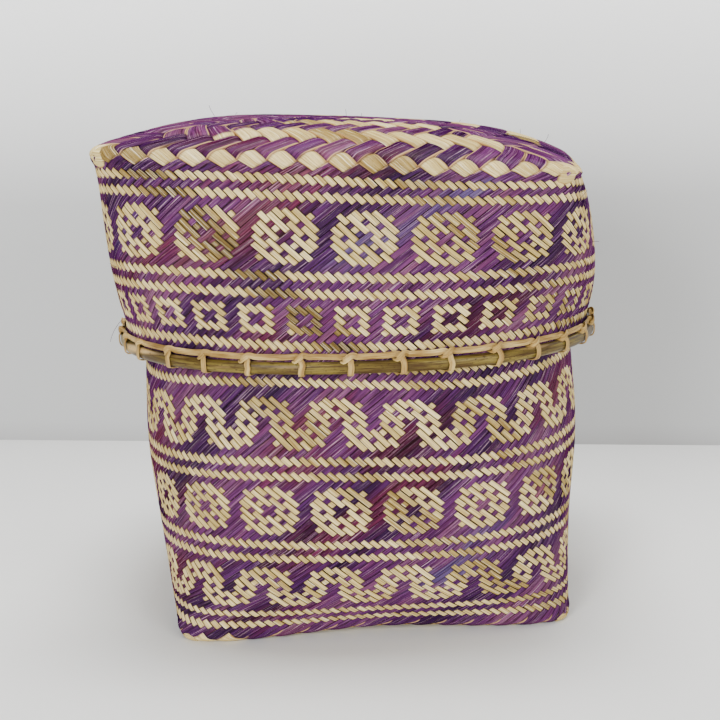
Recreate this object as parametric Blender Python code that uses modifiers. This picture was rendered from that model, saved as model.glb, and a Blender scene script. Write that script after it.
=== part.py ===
"""Woven bamboo box with a sleeve lid, about 19 cm each way, in metres with +Z up.

The box stands on its floor at z = 0.  Its walls change from a square floor to a nearly round
mouth, and the lid changes back from a nearly round rim to a square top.  Each half is a fine
outer weave over a coarser lining, with two bamboo hoops at the rim and one strand of split
rattan that lashes them through the weave.
"""

import math

import bmesh
import bpy
from mathutils import Matrix, Vector

# The base's widest half width, the heights of the two rims, which are the top of the base's
# mouth and the underside of the lid, and the room between the mouth and the lid's top edge
BASE_HALF_WIDTH = 0.0877
BASE_HEIGHT = 0.1655
LID_RIM_HEIGHT = 0.1050
HEAD_ROOM = 0.0128

# Next to a rim the wall runs straight for this far, where the hoops clamp it
RIM_STRAIGHT = 0.0092

# The walls' outer faces at rings from the floor up: each ring's share of the height to the
# straight mouth, the share of the half width that it has at mid side, and its corner share,
# which is how far its corner reaches of a full square's: 0.707 on a circle, 1.0 on a square
BASE_RING_SHARES = (0.0, 0.087, 0.221, 0.429, 0.644, 1.0)
BASE_WIDTH_SHARES = (0.871, 0.9145, 0.960, 1.0, 0.990, 0.952)
BASE_CORNER_SHARES = (0.944, 0.865, 0.795, 0.770, 0.752, 0.735)

# The lid's, from its straight rim up, with how far each ring swells past the rim
LID_RING_SHARES = (0.0, 0.130, 0.332, 0.582, 0.832, 1.0)
LID_SWELLS = (0.0, 0.0017, 0.0015, 0.0001, -0.0028, -0.0066)
LID_CORNER_SHARES = (0.735, 0.748, 0.795, 0.835, 0.885, 0.955)

# Floor and top: their edges rise by an arch at mid side, which dies away along the wall, the
# floor is flat out to a share of its width, the top is crowned, and rows round towards the
# middle of each
FLOOR_ARCH = 0.0035
FLAT_SHARE = 0.60
TOP_ARCH = 0.0012
ARCH_FADE = 6
TOP_CROWN = 0.0127
CROWN_POWER = 3.6
MIDDLE_CORNER_SHARE = 0.745
ROUNDING = 3

# Woven by hand, the walls turn a little on their way up, from a share of the base's height,
# and the lid's top slopes to +X
TURN = math.radians(-9.7)
TURN_START_SHARE = 0.492
TOP_SLOPE = -0.0620

# Thicknesses of the two woven layers, the gap between them, and the gap at seated pieces
WEAVE_THICKNESS = 0.0010
LINING_THICKNESS = 0.0007
LAYER_GAP = 0.0005
SEAT = 0.0003
LAYERS = WEAVE_THICKNESS + LAYER_GAP + LINING_THICKNESS

# Rim hoops of split bamboo
HOOP_HEIGHT = 0.0044
LID_OUTER_HOOP_THICKNESS = 0.0020
LID_INNER_HOOP_THICKNESS = 0.0012
BASE_OUTER_HOOP_THICKNESS = 0.0016
BASE_INNER_HOOP_THICKNESS = 0.0012
HOOP_EDGE = 0.0004
HOOP_CUT_WIDTH = 0.0006
HOOP_CUT_SLANT = math.radians(72.0)
HOOP_CUT_PLACE = math.radians(118.0)
EDGE_RECESS = 0.0004

# Rattan lashing
STRAND_RADIUS = 0.0006
LID_WRAPS = 24
BASE_WRAPS = 12
WRAP_WIDTH = 0.0026
RUN_STEP = 0.0090
HOLE_CLEARANCE = 0.0004

# Room at mid side between the base's wall and the strand inside the lid's rim
LID_FIT = 0.0023
LID_STAND_OUT = LAYERS + 2.0 * SEAT + LID_INNER_HOOP_THICKNESS + 2.0 * STRAND_RADIUS + LID_FIT

# How finely the curved faces are divided
SEGMENTS = 40
ROW_STEP = 0.0360
CAP_SHARES = (0.30, 0.60, 0.78, 0.91)
STATION_STEPS = 2880
WELD_DISTANCE = 0.00001
SMOOTH_ANGLE = math.radians(40.0)
FULL_TURN = 2.0 * math.pi


def clear_scene():
    for old in list(bpy.data.objects):
        bpy.data.objects.remove(old, do_unlink=True)


def new_collection(name):
    group = bpy.data.collections.new(name)
    bpy.context.scene.collection.children.link(group)
    return group


def new_material(name, colour, roughness):
    material = bpy.data.materials.new(name)
    material.use_nodes = True
    shader = material.node_tree.nodes["Principled BSDF"]
    shader.inputs["Base Color"].default_value = (*colour, 1.0)
    shader.inputs["Roughness"].default_value = roughness
    shader.inputs["Metallic"].default_value = 0.0
    return material


def new_object(name, mesh, group, material):
    piece = bpy.data.objects.new(name, mesh)
    group.objects.link(piece)
    mesh.materials.append(material)
    mesh.shade_smooth()
    mesh.set_sharp_from_angle(angle=SMOOTH_ANGLE)
    return piece


def smooth_value(rings, height, column):
    """A ring table's column at a height, on a smooth curve through its rows."""
    height = min(max(height, rings[0][0]), rings[-1][0])
    last = len(rings) - 1
    slopes = []
    for index in range(last + 1):
        below = rings[max(index - 1, 0)]
        above = rings[min(index + 1, last)]
        slopes.append((above[column] - below[column]) / (above[0] - below[0]))
    index = 0
    while index < last - 1 and height > rings[index + 1][0]:
        index += 1
    low, high = rings[index], rings[index + 1]
    span = high[0] - low[0]
    t = (height - low[0]) / span
    return (
        low[column] * (1.0 + 2.0 * t) * (1.0 - t) ** 2
        + slopes[index] * span * t * (1.0 - t) ** 2
        + high[column] * t * t * (3.0 - 2.0 * t)
        + slopes[index + 1] * span * t * t * (t - 1.0)
    )


def ring_table(low, high, shares, half_widths, corner_shares):
    """Rows of height, half width and corner share between two heights."""
    heights = [low + (high - low) * share for share in shares]
    return tuple(zip(heights, half_widths, corner_shares))


BASE_RINGS = ring_table(
    0.0, BASE_HEIGHT - RIM_STRAIGHT, BASE_RING_SHARES,
    [BASE_HALF_WIDTH * share for share in BASE_WIDTH_SHARES], BASE_CORNER_SHARES,
)
LID_RIM_HALF_WIDTH = smooth_value(BASE_RINGS, LID_RIM_HEIGHT, 1) + LID_STAND_OUT
LID_RINGS = ring_table(
    LID_RIM_HEIGHT + RIM_STRAIGHT, BASE_HEIGHT + HEAD_ROOM, LID_RING_SHARES,
    [LID_RIM_HALF_WIDTH + swell for swell in LID_SWELLS], LID_CORNER_SHARES,
)
LID_EDGE_HEIGHT = LID_RINGS[-1][0]
TURN_START = TURN_START_SHARE * BASE_HEIGHT


def turn_at(height):
    """How far the walls have turned at a height."""
    return TURN * max(0.0, height - TURN_START) / (LID_EDGE_HEIGHT - TURN_START)


def ring_radius(half, corner_share, angle):
    """Radius at an angle of a rounded square with its half width and corner share."""
    power = -math.log(2.0) / math.log(corner_share)
    spread = abs(math.cos(angle)) ** power + abs(math.sin(angle)) ** power
    return half / spread ** (1.0 / power)


def wall_point(rings, height, angle, depth=0.0, share=1.0):
    """A point of a wall's ring, depth inside its outer face, drawn in towards its centre."""
    half = smooth_value(rings, height, 1) - depth
    corner_share = smooth_value(rings, height, 2)
    corner_share = MIDDLE_CORNER_SHARE + (corner_share - MIDDLE_CORNER_SHARE) * share ** ROUNDING
    radius = ring_radius(half, corner_share, angle) * share
    heading = angle + turn_at(height)
    return Vector((radius * math.cos(heading), radius * math.sin(heading), height))


def side_arch(angle):
    """1 at mid side, 0 at a corner."""
    return math.cos(2.0 * angle) ** 2


def wall_heights(rings, rim_edge):
    """Heights at which a wall has a row: its rings, the middles of long spans, its edge."""
    heights = [rings[0][0]]
    for low, high in zip(rings, rings[1:]):
        steps = math.ceil((high[0] - low[0]) / ROW_STEP)
        heights += [low[0] + (high[0] - low[0]) * step / steps for step in range(1, steps + 1)]
    return sorted([*heights, rim_edge])


def base_rows(depth):
    """Rows of the base from the floor's middle out to its edge and up the wall.

    Each row is a height, a share of the ring there, the rise at mid side, the rise all
    round and the slope along X.  The surface lies depth inside the outer face, less towards
    the open edge.
    """
    top = BASE_HEIGHT - EDGE_RECESS
    rows = []
    for share in CAP_SHARES:
        climb = max(0.0, (share - FLAT_SHARE) / (1.0 - FLAT_SHARE)) ** 2
        rows.append((0.0, share, FLOOR_ARCH * climb, depth, 0.0))
    for height in wall_heights(BASE_RINGS, top):
        fade = 1.0 - height / top
        rows.append((height, 1.0, FLOOR_ARCH * fade ** ARCH_FADE, depth * fade, 0.0))
    return rows


def lid_rows(depth):
    """Rows of the lid from the top's middle out to its edge and down the wall."""
    low = LID_RIM_HEIGHT + EDGE_RECESS
    edge = LID_EDGE_HEIGHT
    rows = []
    for share in CAP_SHARES:
        crown = TOP_CROWN * (1.0 - share ** CROWN_POWER)
        rows.append((edge, share, TOP_ARCH * share ** 2, crown - depth, TOP_SLOPE))
    for height in reversed(wall_heights(LID_RINGS, low)):
        fade = (height - low) / (edge - low)
        rows.append((height, 1.0, TOP_ARCH * fade ** ARCH_FADE, -depth * fade, TOP_SLOPE * fade))
    return rows


def woven_shell(name, rings, rows, middle_height, depth, thickness, group, material):
    """A bowl lofted from its middle through its rows, made solid inwards."""
    shell = bmesh.new()
    loops = []
    for height, share, arch, raised, slope in rows:
        loop = []
        for step in range(SEGMENTS):
            angle = FULL_TURN * step / SEGMENTS
            place = wall_point(rings, height, angle, depth, share)
            place.z += arch * side_arch(angle) + raised + slope * place.x
            loop.append(shell.verts.new(place))
        loops.append(loop)
    middle = shell.verts.new((0.0, 0.0, middle_height))
    for step in range(SEGMENTS):
        following = (step + 1) % SEGMENTS
        shell.faces.new((middle, loops[0][step], loops[0][following]))
        for inner, outer in zip(loops, loops[1:]):
            shell.faces.new((inner[step], outer[step], outer[following], inner[following]))
    bmesh.ops.recalc_face_normals(shell, faces=shell.faces)
    mesh = bpy.data.meshes.new(name)
    shell.to_mesh(mesh)
    shell.free()
    piece = new_object(name, mesh, group, material)
    solid = piece.modifiers.new("Thickness", "SOLIDIFY")
    solid.thickness = thickness
    solid.offset = -1.0
    solid.use_even_offset = True
    solid.use_quality_normals = True
    return piece


def rim_radius(rings, height, outward, angle):
    """Radius of a rim curve that lies outward of the weave's outer face."""
    return ring_radius(
        smooth_value(rings, height, 1) + outward, smooth_value(rings, height, 2), angle
    )


def rim_point(rings, height, outward, angle, level):
    """A point at a level that lies outward of the weave's face, as the ring at height runs."""
    radius = rim_radius(rings, height, outward, angle)
    heading = angle + turn_at(height)
    return Vector((radius * math.cos(heading), radius * math.sin(heading), level))


def curve_mesh_object(name, curve, group, material):
    """Turn a curve into a mesh object with its caps welded, and remove the curve."""
    source = bpy.data.objects.new(name + "_curve", curve)
    group.objects.link(source)
    evaluated = source.evaluated_get(bpy.context.evaluated_depsgraph_get())
    mesh = bpy.data.meshes.new_from_object(evaluated)
    mesh.name = name
    weld = bmesh.new()
    weld.from_mesh(mesh)
    bmesh.ops.remove_doubles(weld, verts=weld.verts, dist=WELD_DISTANCE)
    weld.to_mesh(mesh)
    weld.free()
    bpy.data.objects.remove(source, do_unlink=True)
    bpy.data.curves.remove(curve)
    mesh.materials.clear()
    return new_object(name, mesh, group, material)


def rim_hoop(name, rings, rim_height, inner, outer, centre_level, group, material):
    """A flat strip of bamboo bent round the rim, between two distances from the weave."""
    outline = bpy.data.curves.new(name + "_outline", "CURVE")
    outline.dimensions = "2D"
    outline.fill_mode = "BOTH"
    outline.extrude = HOOP_HEIGHT / 2.0 - HOOP_EDGE
    outline.bevel_depth = HOOP_EDGE
    outline.bevel_resolution = 0
    for outward in (outer - HOOP_EDGE, inner + HOOP_EDGE):
        spline = outline.splines.new("POLY")
        spline.points.add(SEGMENTS - 1)
        spline.use_cyclic_u = True
        for step, point in enumerate(spline.points):
            angle = FULL_TURN * step / SEGMENTS
            place = rim_point(rings, rim_height, outward, angle, 0.0)
            point.co = (place.x, place.y, 0.0, 1.0)
    hoop = curve_mesh_object(name, outline, group, material)
    hoop.location.z = centre_level
    return hoop


def cut(piece, cutter):
    """Take the cutter's shape out of the piece."""
    boolean = piece.modifiers.new("Cut by " + cutter.name, "BOOLEAN")
    boolean.operation = "DIFFERENCE"
    boolean.solver = "EXACT"
    boolean.object = cutter


def new_cutter(name, mesh, group):
    cutter = bpy.data.objects.new(name, mesh)
    group.objects.link(cutter)
    cutter.hide_render = True
    cutter.display_type = "WIRE"
    return cutter


def slant_cutter(name, rings, rim_height, level, group):
    """A thin slanted blade that parts a hoop where its two ends meet."""
    blade = bmesh.new()
    bmesh.ops.create_cube(blade, size=1.0)
    reach = 4.0 * LID_OUTER_HOOP_THICKNESS
    bmesh.ops.scale(blade, verts=blade.verts, vec=(reach, HOOP_CUT_WIDTH, 6.0 * HOOP_HEIGHT))
    bmesh.ops.rotate(blade, verts=blade.verts, matrix=Matrix.Rotation(HOOP_CUT_SLANT, 3, "X"))
    heading = HOOP_CUT_PLACE + turn_at(rim_height)
    bmesh.ops.rotate(blade, verts=blade.verts, matrix=Matrix.Rotation(heading, 3, "Z"))
    place = rim_point(rings, rim_height, 0.0, HOOP_CUT_PLACE, level)
    bmesh.ops.translate(blade, verts=blade.verts, vec=place)
    mesh = bpy.data.meshes.new(name)
    blade.to_mesh(mesh)
    blade.free()
    return new_cutter(name, mesh, group)


def even_stations(rings, height, count):
    """Angles that part the rim into equal lengths."""
    lengths = [0.0]
    last = rim_point(rings, height, 0.0, 0.0, 0.0)
    for step in range(1, STATION_STEPS + 1):
        place = rim_point(rings, height, 0.0, FULL_TURN * step / STATION_STEPS, 0.0)
        lengths.append(lengths[-1] + (place - last).length)
        last = place
    angles = []
    step = 0
    for station in range(count):
        wanted = lengths[-1] * (station + 0.5) / count
        while lengths[step] < wanted:
            step += 1
        angles.append(FULL_TURN * step / STATION_STEPS)
    return angles


class Rim:
    """Where the hoops, the strand and its holes lie on one rim."""

    def __init__(self, rings, edge_level, upward, outer_thickness, inner_thickness, wraps):
        self.rings = rings
        self.edge_level = edge_level
        self.upward = upward
        self.wraps = wraps
        self.centre_level = edge_level + upward * HOOP_HEIGHT / 2.0
        self.height = self.centre_level
        self.outer_hoop = (SEAT, SEAT + outer_thickness)
        self.inner_hoop = (-LAYERS - SEAT - inner_thickness, -LAYERS - SEAT)
        stand_off = SEAT + STRAND_RADIUS
        self.strand_out = self.outer_hoop[1] + stand_off
        self.strand_in = self.inner_hoop[0] - stand_off
        self.run_out = SEAT + 2.0 * STRAND_RADIUS
        self.run_in = -LAYERS - SEAT - 2.0 * STRAND_RADIUS
        self.past_hoop = edge_level + upward * (HOOP_HEIGHT + SEAT + 2.0 * STRAND_RADIUS)
        self.past_edge = edge_level - upward * stand_off
        self.hoop_shoulder = edge_level + upward * (HOOP_HEIGHT - HOOP_EDGE)
        self.hoop_foot = edge_level + upward * HOOP_EDGE

    def point(self, outward, angle, level):
        return rim_point(self.rings, self.height, outward, angle, level)


def run_points(rim, start, end):
    """Points between two wraps, where the strand follows the wall's curve."""
    length = (end - start) * rim_radius(rim.rings, rim.height, 0.0, 0.5 * (start + end))
    steps = math.ceil(length / RUN_STEP)
    return [
        rim.point(rim.run_out, start + (end - start) * step / steps, rim.past_hoop)
        for step in range(1, steps)
    ]


def strand_points(rim):
    """One strand: along above the hoop, over and under the rim, and back out by its hole."""
    stations = even_stations(rim.rings, rim.height, rim.wraps)
    places = []
    for station, angle in enumerate(stations):
        radius = rim_radius(rim.rings, rim.height, 0.0, angle)
        half = 0.5 * WRAP_WIDTH / radius
        turns = (
            (rim.run_out, -1.0, rim.past_hoop),
            (rim.strand_out, -0.8, rim.hoop_shoulder),
            (rim.strand_out, -0.4, rim.hoop_foot),
            (rim.outer_hoop[1], -0.2, rim.past_edge),
            (rim.inner_hoop[0], 0.2, rim.past_edge),
            (rim.strand_in, 0.4, rim.hoop_foot),
            (rim.strand_in, 0.8, rim.hoop_shoulder),
            (rim.run_in, 1.0, rim.past_hoop),
            (rim.run_out, 1.0, rim.past_hoop),
        )
        for outward, sideways, level in turns:
            places.append(rim.point(outward, angle + sideways * half, level))
        if station + 1 < len(stations):
            places += run_points(rim, angle + half, stations[station + 1] - half)
    return places


def least_gap(places):
    """Least distance between parts of the strand that are not neighbours, less its width."""
    closest = 1.0
    count = len(places)
    for first in range(count):
        for second in range(first + 4, min(first + 16, count)):
            closest = min(closest, (places[first] - places[second]).length)
    return closest - 2.0 * STRAND_RADIUS


def rim_lashing(name, rim, group, material):
    places = strand_points(rim)
    print(name, "least gap to itself in mm:", round(1000.0 * least_gap(places), 2))
    curve = bpy.data.curves.new(name, "CURVE")
    curve.dimensions = "3D"
    curve.bevel_depth = STRAND_RADIUS
    curve.bevel_resolution = 1
    curve.use_fill_caps = True
    spline = curve.splines.new("POLY")
    spline.points.add(len(places) - 1)
    for point, place in zip(spline.points, places):
        point.co = (*place, 1.0)
    return curve_mesh_object(name, curve, group, material)


def hole_cutters(name, rim, group):
    """Square pegs, joined in one mesh, that open the strand's way through both layers."""
    stations = even_stations(rim.rings, rim.height, rim.wraps)
    width = 2.0 * (STRAND_RADIUS + HOLE_CLEARANCE)
    reach = rim.run_out - rim.run_in
    pegs = bmesh.new()
    for angle in stations:
        half = 0.5 * WRAP_WIDTH / rim_radius(rim.rings, rim.height, 0.0, angle)
        inside = rim.point(rim.run_in, angle + half, rim.past_hoop)
        outside = rim.point(rim.run_out, angle + half, rim.past_hoop)
        along = (outside - inside).normalized()
        made = bmesh.ops.create_cube(pegs, size=1.0)["verts"]
        bmesh.ops.scale(pegs, verts=made, vec=(reach, width, width))
        heading = math.atan2(along.y, along.x)
        bmesh.ops.rotate(pegs, verts=made, matrix=Matrix.Rotation(heading, 3, "Z"))
        bmesh.ops.translate(pegs, verts=made, vec=(inside + outside) / 2.0)
    mesh = bpy.data.meshes.new(name)
    pegs.to_mesh(mesh)
    pegs.free()
    return new_cutter(name, mesh, group)


def build_half(prefix, rows, middle, rim, group, cutters, materials, parent):
    """One half of the box: two woven layers, two hoops and the lashing."""
    lining_depth = WEAVE_THICKNESS + LAYER_GAP
    outer = woven_shell(
        prefix + "_outer_weave", rim.rings, rows(0.0), middle(0.0), 0.0,
        WEAVE_THICKNESS, group, materials["weave"],
    )
    lining = woven_shell(
        prefix + "_lining", rim.rings, rows(lining_depth), middle(lining_depth), lining_depth,
        LINING_THICKNESS, group, materials["lining"],
    )
    holes = hole_cutters(prefix + "_strand_holes", rim, cutters)
    cut(outer, holes)
    cut(lining, holes)
    blade = slant_cutter(prefix + "_hoop_cut", rim.rings, rim.height, rim.centre_level, cutters)
    hoops = []
    for label, span in (("outer", rim.outer_hoop), ("inner", rim.inner_hoop)):
        hoop = rim_hoop(
            prefix + "_" + label + "_hoop", rim.rings, rim.height, span[0], span[1],
            rim.centre_level, group, materials["hoop"],
        )
        cut(hoop, blade)
        hoops.append(hoop)
    lashing = rim_lashing(prefix + "_rim_lashing", rim, group, materials["rattan"])
    for piece in (outer, lining, *hoops, lashing):
        piece.parent = parent


def main():
    clear_scene()
    group = new_collection("woven_bamboo_box")
    cutters = new_collection("cutters")
    materials = {
        "weave": new_material("purple_and_straw_weave", (0.27, 0.12, 0.30), 0.55),
        "lining": new_material("straw_lining", (0.66, 0.57, 0.38), 0.65),
        "hoop": new_material("bamboo_skin", (0.45, 0.40, 0.18), 0.35),
        "rattan": new_material("split_rattan", (0.74, 0.56, 0.34), 0.45),
    }
    base_rim = Rim(
        BASE_RINGS, BASE_HEIGHT, -1.0,
        BASE_OUTER_HOOP_THICKNESS, BASE_INNER_HOOP_THICKNESS, BASE_WRAPS,
    )
    lid_rim = Rim(
        LID_RINGS, LID_RIM_HEIGHT, 1.0,
        LID_OUTER_HOOP_THICKNESS, LID_INNER_HOOP_THICKNESS, LID_WRAPS,
    )
    lid_joint = bpy.data.objects.new("lid_joint", None)
    group.objects.link(lid_joint)
    build_half(
        "base", base_rows, lambda depth: depth,
        base_rim, group, cutters, materials, None,
    )
    build_half(
        "lid", lid_rows, lambda depth: LID_EDGE_HEIGHT + TOP_CROWN - depth,
        lid_rim, group, cutters, materials, lid_joint,
    )


main()
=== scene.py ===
from dataclasses import dataclass
import math

import bpy
import numpy as np
from mathutils import Matrix, Vector


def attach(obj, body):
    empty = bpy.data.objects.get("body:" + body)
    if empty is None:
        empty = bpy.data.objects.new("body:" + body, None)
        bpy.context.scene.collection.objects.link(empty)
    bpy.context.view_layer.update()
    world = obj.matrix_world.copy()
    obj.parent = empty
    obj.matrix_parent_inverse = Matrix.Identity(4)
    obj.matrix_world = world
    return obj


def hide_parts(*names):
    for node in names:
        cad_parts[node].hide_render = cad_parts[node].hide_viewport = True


# The looks of a woven bamboo box with a sleeve lid, its table and its wall, as in a photo. Every
# strip of both woven layers of both halves is drawn, with the rims' hoops and lashings.

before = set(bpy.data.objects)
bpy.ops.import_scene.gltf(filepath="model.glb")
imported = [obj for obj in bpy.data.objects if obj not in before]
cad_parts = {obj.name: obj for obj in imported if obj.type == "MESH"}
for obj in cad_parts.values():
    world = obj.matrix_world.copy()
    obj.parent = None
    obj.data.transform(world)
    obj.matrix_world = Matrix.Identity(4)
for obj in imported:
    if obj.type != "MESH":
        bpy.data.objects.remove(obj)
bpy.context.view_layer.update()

# The two halves' outer faces, in metres. Each ring is a height, a half width at mid side and a
# corner share, which is how far the ring's corner reaches of a full square's.
BASE_HEIGHT = 0.1655
LID_RIM_HEIGHT = 0.1050
LID_EDGE_HEIGHT = 0.1783
BASE_RINGS = (
    (0.0000, 0.0764, 0.944), (0.0136, 0.0802, 0.865), (0.0345, 0.0842, 0.795),
    (0.0671, 0.0877, 0.770), (0.1007, 0.0868, 0.752), (0.1563, 0.0835, 0.735),
)
LID_RINGS = (
    (0.1142, 0.0941, 0.735), (0.1225, 0.0958, 0.748), (0.1355, 0.0956, 0.795),
    (0.1515, 0.0942, 0.835), (0.1675, 0.0913, 0.885), (0.1783, 0.0875, 0.955),
)
FLOOR_ARCH = 0.0035
FLAT_SHARE = 0.60
TOP_ARCH = 0.0012
ARCH_FADE = 6
TOP_CROWN = 0.0127
CROWN_POWER = 3.6
MIDDLE_CORNER_SHARE = 0.745
ROUNDING = 3
TURN = math.radians(-9.7)
TURN_START = 0.0814
TOP_SLOPE = -0.0620
HEIGHT_STEPS = 300

# The edge is rounded over this far to either side, from samples at these shares of it
EDGE_ROUNDING = 0.0022
EDGE_SAMPLES = (-1.0, -0.5, 0.0, 0.5, 1.0)

# The weave's layers, inwards from the outer face, how far their strips rise and fall, how far a
# strip's middle is crowned and its edges drop, and how much stronger that is on the lid's top
WEAVE_DEPTH = 0.0005
WEAVE_LIFT = 0.00025
WIDE_LIFT = 0.00034
LINING_DEPTH = 0.0018
LINING_LIFT = 0.00022
STRIP_DROP = 0.00022
STRIP_CROWN = 0.00004
WIDE_CROWN = 0.00030
TOP_RELIEF = 1.9

# A strip's half width in the weave's units, how finely it is divided, and where across it, in
# half widths, its edges start to drop
NATURAL_HALF_WIDTH = 0.446
DYED_HALF_WIDTH = 0.485
WIDE_LANE = 0.5
STEPS_PER_CELL = 3
ACROSS = np.array([-1.0, -0.86, 0.0, 0.86, 1.0])
FINE_EDGE = 0.90
WIDE_EDGE = 0.98

# Fine strips run on into wide ones, three to each: from this many rows before the wide rows and
# over this many rows. The wide ones' rise and fall is smoothed over samples in rows.
STRIPS_PER_WIDE = 3
MERGE_START = 0.6
MERGE_ROWS = 2.0
WIDE_SAMPLES = (-0.6, -0.3, 0.0, 0.3, 0.6)

# Between two crossings a strip rises or falls over this part of a row, and past its group's end
# it runs on, tucked under, for this share of a wide half row
CROSSING_EASE = (0.2, 0.8)
OVERRUN = 0.45

# How a fine strip wanders sideways, per row and at random, and how its width varies, in units
WANDER = 0.035
WANDER_RATE = 0.31
WANDER_TURNS = 6.3
WANDER_SPREAD = 0.018
WIDTH_SPREAD = 0.010

# On the lid the wide rows next to the edge sag a little, in metres and in wide strips inwards
SAG = 0.0016
SAG_SPAN = (-0.9, 0.0, 0.75, 2.0)

# The top's undyed strips are dyed over this many wide half rows before they reach a diagonal, and
# on the left past these wide strips, but not in the first rows from the edge
DYED_END = 2.5
LEFT_DYED_FROM = (2.0, 3.5)
TOP_DYED_FROM = (1.5, 3.0)

# Colour guides: a strip's width in millimetres, how far the next strip's fibres are shifted, how
# strong a fine strip's raw edge and a wide one's painted shade at its rim are, and the rise where
# painted shade starts
STRIP_WIDTH_MM = 2.4
STRIP_SHIFT = 7.31
FINE_RAW_EDGE = 0.6
WIDE_RIM_SHADE = 0.93
# The rises between which painted shade darkens a strip where it dips under the strips it crosses
PAINTED_DIP_SHADE_RISE = (-0.7, 0.75)

# The squeeze of the lid's repeats is shifted round by this place, and no strip ends nearer to a
# rim than this
SQUEEZE_SHIFT = 0.13
END_ROOM = 0.0004

# Lengths taken as none
NO_LENGTH = 1e-12
LEAST_REACH = 1e-6

# Motifs, one string for each half row from a motif's middle up: # where the undyed strip is on
# top, read along the undyed strips, eight or five to a repeat
ROUND_MOTIF = (".#.#.#.#", "..##..##", "#####.##", ".##.#..#", "##.##...", "######..", "..###...")
SQUARE_MOTIF = (".#..#", "..#.#", "###..", "####.")

SIDES = ("front", "right", "back", "left")

# Rim hoops, in metres: height, distance from the weave, the woven layers between them, their
# thicknesses, how much of that bulges, and the cut in each hoop
HOOP_HEIGHT = 0.0044
SEAT = 0.0003
LAYERS = 0.0022
LID_HOOPS = (0.0020, 0.0012)
BASE_HOOPS = (0.0016, 0.0012)
HOOP_BULGE = 0.75
HOOP_CUT_PLACE = math.radians(118.0)
HOOP_CUT_SLANT = math.tan(math.radians(72.0))
HOOP_CUT_GAP = 0.0006

# Flat rattan: half width and half thickness, and how many stitches each rim has
RATTAN = (0.00112, 0.00030)
LID_STITCHES = 34
BASE_STITCHES = 30
FIRST_STITCH = 0.5 - 50.0 / 5400.0


def smooth_value(rings, height, column):
    """A ring table's column at a height, on a smooth curve through its rows."""
    height = min(max(height, rings[0][0]), rings[-1][0])
    last = len(rings) - 1
    slopes = []
    for index in range(last + 1):
        below, above = rings[max(index - 1, 0)], rings[min(index + 1, last)]
        slopes.append((above[column] - below[column]) / (above[0] - below[0]))
    index = 0
    while index < last - 1 and height > rings[index + 1][0]:
        index += 1
    low, high = rings[index], rings[index + 1]
    span = high[0] - low[0]
    t = (height - low[0]) / span
    return (
        low[column] * (1.0 + 2.0 * t) * (1.0 - t) ** 2
        + slopes[index] * span * t * (1.0 - t) ** 2
        + high[column] * t * t * (3.0 - 2.0 * t)
        + slopes[index + 1] * span * t * t * (t - 1.0)
    )


def turn_at(height):
    """How far the walls have turned at a height."""
    return TURN * np.maximum(0.0, height - TURN_START) / (LID_EDGE_HEIGHT - TURN_START)


def ring_shape(corner_share, angle):
    """Radius at an angle of a rounded square of half width 1."""
    power = -math.log(2.0) / np.log(corner_share)
    spread = np.abs(np.cos(angle)) ** power + np.abs(np.sin(angle)) ** power
    return spread ** (-1.0 / power)


HALF_SIDE_ANGLES = np.linspace(0.0, math.pi / 4.0, 400)


def side_steps(corner_share, half_width=1.0):
    """Lengths of short steps along a rounded square, from mid side to its corner."""
    radius = ring_shape(corner_share, HALF_SIDE_ANGLES) * half_width
    x, y = radius * np.cos(HALF_SIDE_ANGLES), radius * np.sin(HALF_SIDE_ANGLES)
    return np.hypot(np.diff(x), np.diff(y))


class ArcTable:
    """Angles from mid side that part a rounded square's side into equal lengths."""

    FIRST_SHARE = 0.715
    SHARE_STEP = 0.01
    SHARE_STEPS = 25
    PLACE_STEPS = 96
    INSIDE = 0.999

    def __init__(self):
        last_share = self.FIRST_SHARE + self.SHARE_STEP * self.SHARE_STEPS
        places = np.linspace(0.0, 1.0, self.PLACE_STEPS + 1)
        rows = []
        for share in np.linspace(self.FIRST_SHARE, last_share, self.SHARE_STEPS + 1):
            lengths = np.concatenate([[0.0], np.cumsum(side_steps(share))])
            rows.append(np.interp(places, lengths / lengths[-1], HALF_SIDE_ANGLES))
        self.table = np.array(rows)

    def angle(self, corner_share, place):
        """Angle from mid front at a place that counts half sides round the ring."""
        side = np.round(place / 2.0)
        along = place - 2.0 * side
        row = (corner_share - self.FIRST_SHARE) / self.SHARE_STEP
        row = np.clip(row, 0.0, self.SHARE_STEPS - 1 + self.INSIDE)
        column = np.clip(np.abs(along) * self.PLACE_STEPS, 0.0, self.PLACE_STEPS - 1 + self.INSIDE)
        i, j = row.astype(int), column.astype(int)
        f, g = row - i, column - j
        table = self.table
        found = (
            table[i, j] * (1.0 - f) * (1.0 - g) + table[i + 1, j] * f * (1.0 - g)
            + table[i, j + 1] * (1.0 - f) * g + table[i + 1, j + 1] * f * g
        )
        return np.sign(along) * found + side * math.pi / 2.0 - math.pi / 2.0


ARCS = ArcTable()


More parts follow.
